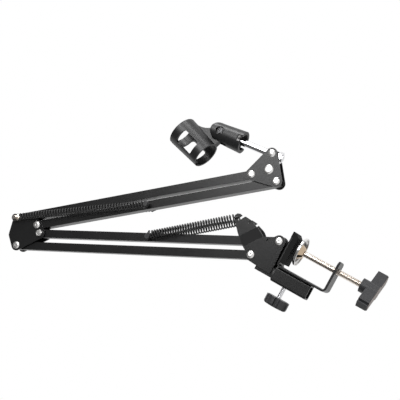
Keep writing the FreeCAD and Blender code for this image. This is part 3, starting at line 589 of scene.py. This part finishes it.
lower_pin = Vector((-0.0787711, 0, 0.1812067))
ear_slot = Vector((-0.000508, 0, 0.079228))
ear_hook = 0.0024
ear_rise = 0.0026
ear_leg = 0.003
pin_rise = 0.0016
lower_coil = (0.0046, 0.001, 0.0036)
lower_line = (lower_pin - ear_slot).normalized()
outward = Vector((lower_line.z, 0, -lower_line.x))
ear_start = ear_slot + lower_line * ear_hook + outward * ear_rise
pair_of_springs(
    "lower_spring", dark_wire, ("swivel_base", "lower_bar_inner"), ear_slot, lower_pin,
    ear_start, Vector((0, -1, 0)), ear_hook, math.pi, ear_leg, lower_pin + outward * pin_rise, lower_pin, *lower_coil)
elbow_top = Vector((-0.1500185, 0, 0.3765778))
upper_pin = Vector((-0.0422013, 0, 0.2059081))
bolt_hook = 0.0043
bolt_leg = 0.0055
upper_coil = (0.0043, 0.0008, 0.0042)
upper_line = (upper_pin - elbow_top).normalized()
outward = Vector((upper_line.z, 0, -upper_line.x))
# The upper pair's wire carries the painted highlight.
pair_of_springs(
    "upper_spring", painted_light_wire, ("elbow", "upper_bar_low"), elbow_top, upper_pin,
    elbow_top, outward, bolt_hook, hook_wrap, bolt_leg, upper_pin, upper_pin, *upper_coil)

# Elbow. Two coated plates that both arms turn between, on rivets, a hexagon bolt with its nut, and a long zinc-plated
# bolt with a nut at each side, whose ends hold the upper springs.
elbow_pivots = {"low": (-0.1435595, 0.342387), "outer": (-0.1833288, 0.3561373)}
for side in ("front", "rear"):
    dress("elbow_plate_" + side, black_coat, plate_edge)
    dress("elbow_spring_nut_" + side, pale_zinc, fine_edge)
dress("elbow_spring_bolt", pale_zinc, fine_edge)
dress("elbow_hex_bolt", nickel, fine_edge)
dress("elbow_hex_nut", nickel, fine_edge)
for place_name, pivot in elbow_pivots.items():
    rivet("elbow_rivet_" + place_name, "elbow", *pivot, pin_shank, pin_head)
for place_name in ("inner", "outer", "top", "low"):
    dress("elbow_washers_" + place_name, nylon, washer_edge)

# Upper arm. Two more bars of the same tube, and a cross pin through the low one for the upper springs.
# They are coated like the lower pair.
dress("upper_bar_top", black_coat, bar_edge)
dress("upper_bar_low", black_coat, bar_edge)
dress("upper_spring_pin", dark_steel, fine_edge)

# Head. Two coated three-cornered plates on rivets and a wide spacer, with a steel block that tilts between them on
# two short screws. A chrome rod stands in the block, locked by a nut.
head_pivots = {"top": (0.058064, 0.0963945), "low": (0.064523, 0.0622037)}
spacer_place = (0.073723, 0.0784037)
spacer_shank = 0.0035
spacer_head = 0.0064
for side in ("front", "rear"):
    dress("head_plate_" + side, black_coat, plate_edge)
    dress("tilt_screw_" + side, nickel, plate_edge)
for place_name, pivot in head_pivots.items():
    rivet("head_rivet_" + place_name, "head", *pivot, pin_shank, pin_head)
    dress("head_washers_" + place_name, nylon, washer_edge)
rivet("head_spacer", "head", *spacer_place, spacer_shank, spacer_head)
dress("tilt_block", dark_steel, plate_edge)
dress("mic_rod", chrome_plate, plate_edge)
dress("rod_nut", chrome_plate, fine_edge)

# Microphone holder. A moulded stem with a metal thread on the rod's end, and a split sleeve with a window in each
# side, whose tongue a screw and a nut hold in the stem's fork.
# The screw has a low round head with a slot across it.
fork_pivot = Vector((0.0890368, 0, 0.1636575))
fork_axis = Vector((-0.1389135, 0.9902681, -0.0084963))
fork_head_radius = 0.0042
fork_head_height = 0.0026
fork_head_seat = 0.0095
fork_head_edge = 0.0005
fork_head_edge_steps = 3
fork_head_sides = 40
fork_shank_radius = 0.0025
fork_shank_end = 0.0121
fork_slot_half = 0.0006
fork_slot_depth = 0.0012
fork_slot_turn = math.radians(35)
plain_steel_tones = (0.055, 0.055, 0.057), (0.095, 0.095, 0.097)
plain_steel_brush = (600, 3)
plain_steel_roughness = (0.32, 0.14)
holder_edge = 0.0008
dress("clip_stem", black_plastic, holder_edge)
dress("thread_insert", nickel, washer_edge)
shape = bmesh.new()
aim = fork_axis.to_track_quat("Z", "Y").to_matrix().to_4x4()
across = aim.to_3x3() @ Vector((math.cos(fork_slot_turn), math.sin(fork_slot_turn), 0))
slot_floor = fork_pivot - fork_axis * (fork_head_seat + fork_head_height - fork_slot_depth)
courses = ((fork_head_radius, -fork_head_seat - fork_head_height + fork_slot_depth, -fork_head_seat),
           (fork_shank_radius, -fork_head_seat, fork_shank_end))
for radius, low, high in courses:
    middle = Matrix.Translation(fork_pivot + fork_axis * (low + high) / 2)
    bmesh.ops.create_cone(shape, cap_ends=True, segments=fork_head_sides, radius1=radius, radius2=radius,
                          depth=high - low, matrix=middle @ aim)
for way in (-across, across):
    half = bmesh.new()
    bmesh.ops.create_circle(half, cap_ends=True, segments=fork_head_sides, radius=fork_head_radius,
                            matrix=Matrix.Translation(slot_floor) @ aim)
    bmesh.ops.bisect_plane(half, geom=half.verts[:] + half.edges[:] + half.faces[:],
                           plane_co=slot_floor + way * fork_slot_half, plane_no=-way, clear_outer=True)
    lifted = bmesh.ops.extrude_face_region(half, geom=half.faces[:])["geom"]
    bmesh.ops.translate(half, verts=[part for part in lifted if isinstance(part, bmesh.types.BMVert)],
                        vec=-fork_axis * fork_slot_depth)
    crown = [part for part in lifted if isinstance(part, bmesh.types.BMEdge)]
    bmesh.ops.bevel(half, geom=crown, offset=fork_head_edge, affect="EDGES", segments=fork_head_edge_steps,
                    profile=0.5, material=-1)
    bmesh.ops.recalc_face_normals(half, faces=half.faces)
    lobe = bpy.data.meshes.new("lobe")
    half.to_mesh(lobe)
    half.free()
    shape.from_mesh(lobe)
    bpy.data.meshes.remove(lobe)
plain_steel, shader, place = finish("plain_steel")
mottled(shader, place, plain_steel_tones, plain_steel_brush, plain_steel_roughness, metallic=1.0)
made("clip_screw_slotted", shape, plain_steel, "clip_stem", "dark_steel", "clip_screw")
dress("clip_nut", plain_steel, fine_edge)
dress("mic_clip", black_plastic, holder_edge)
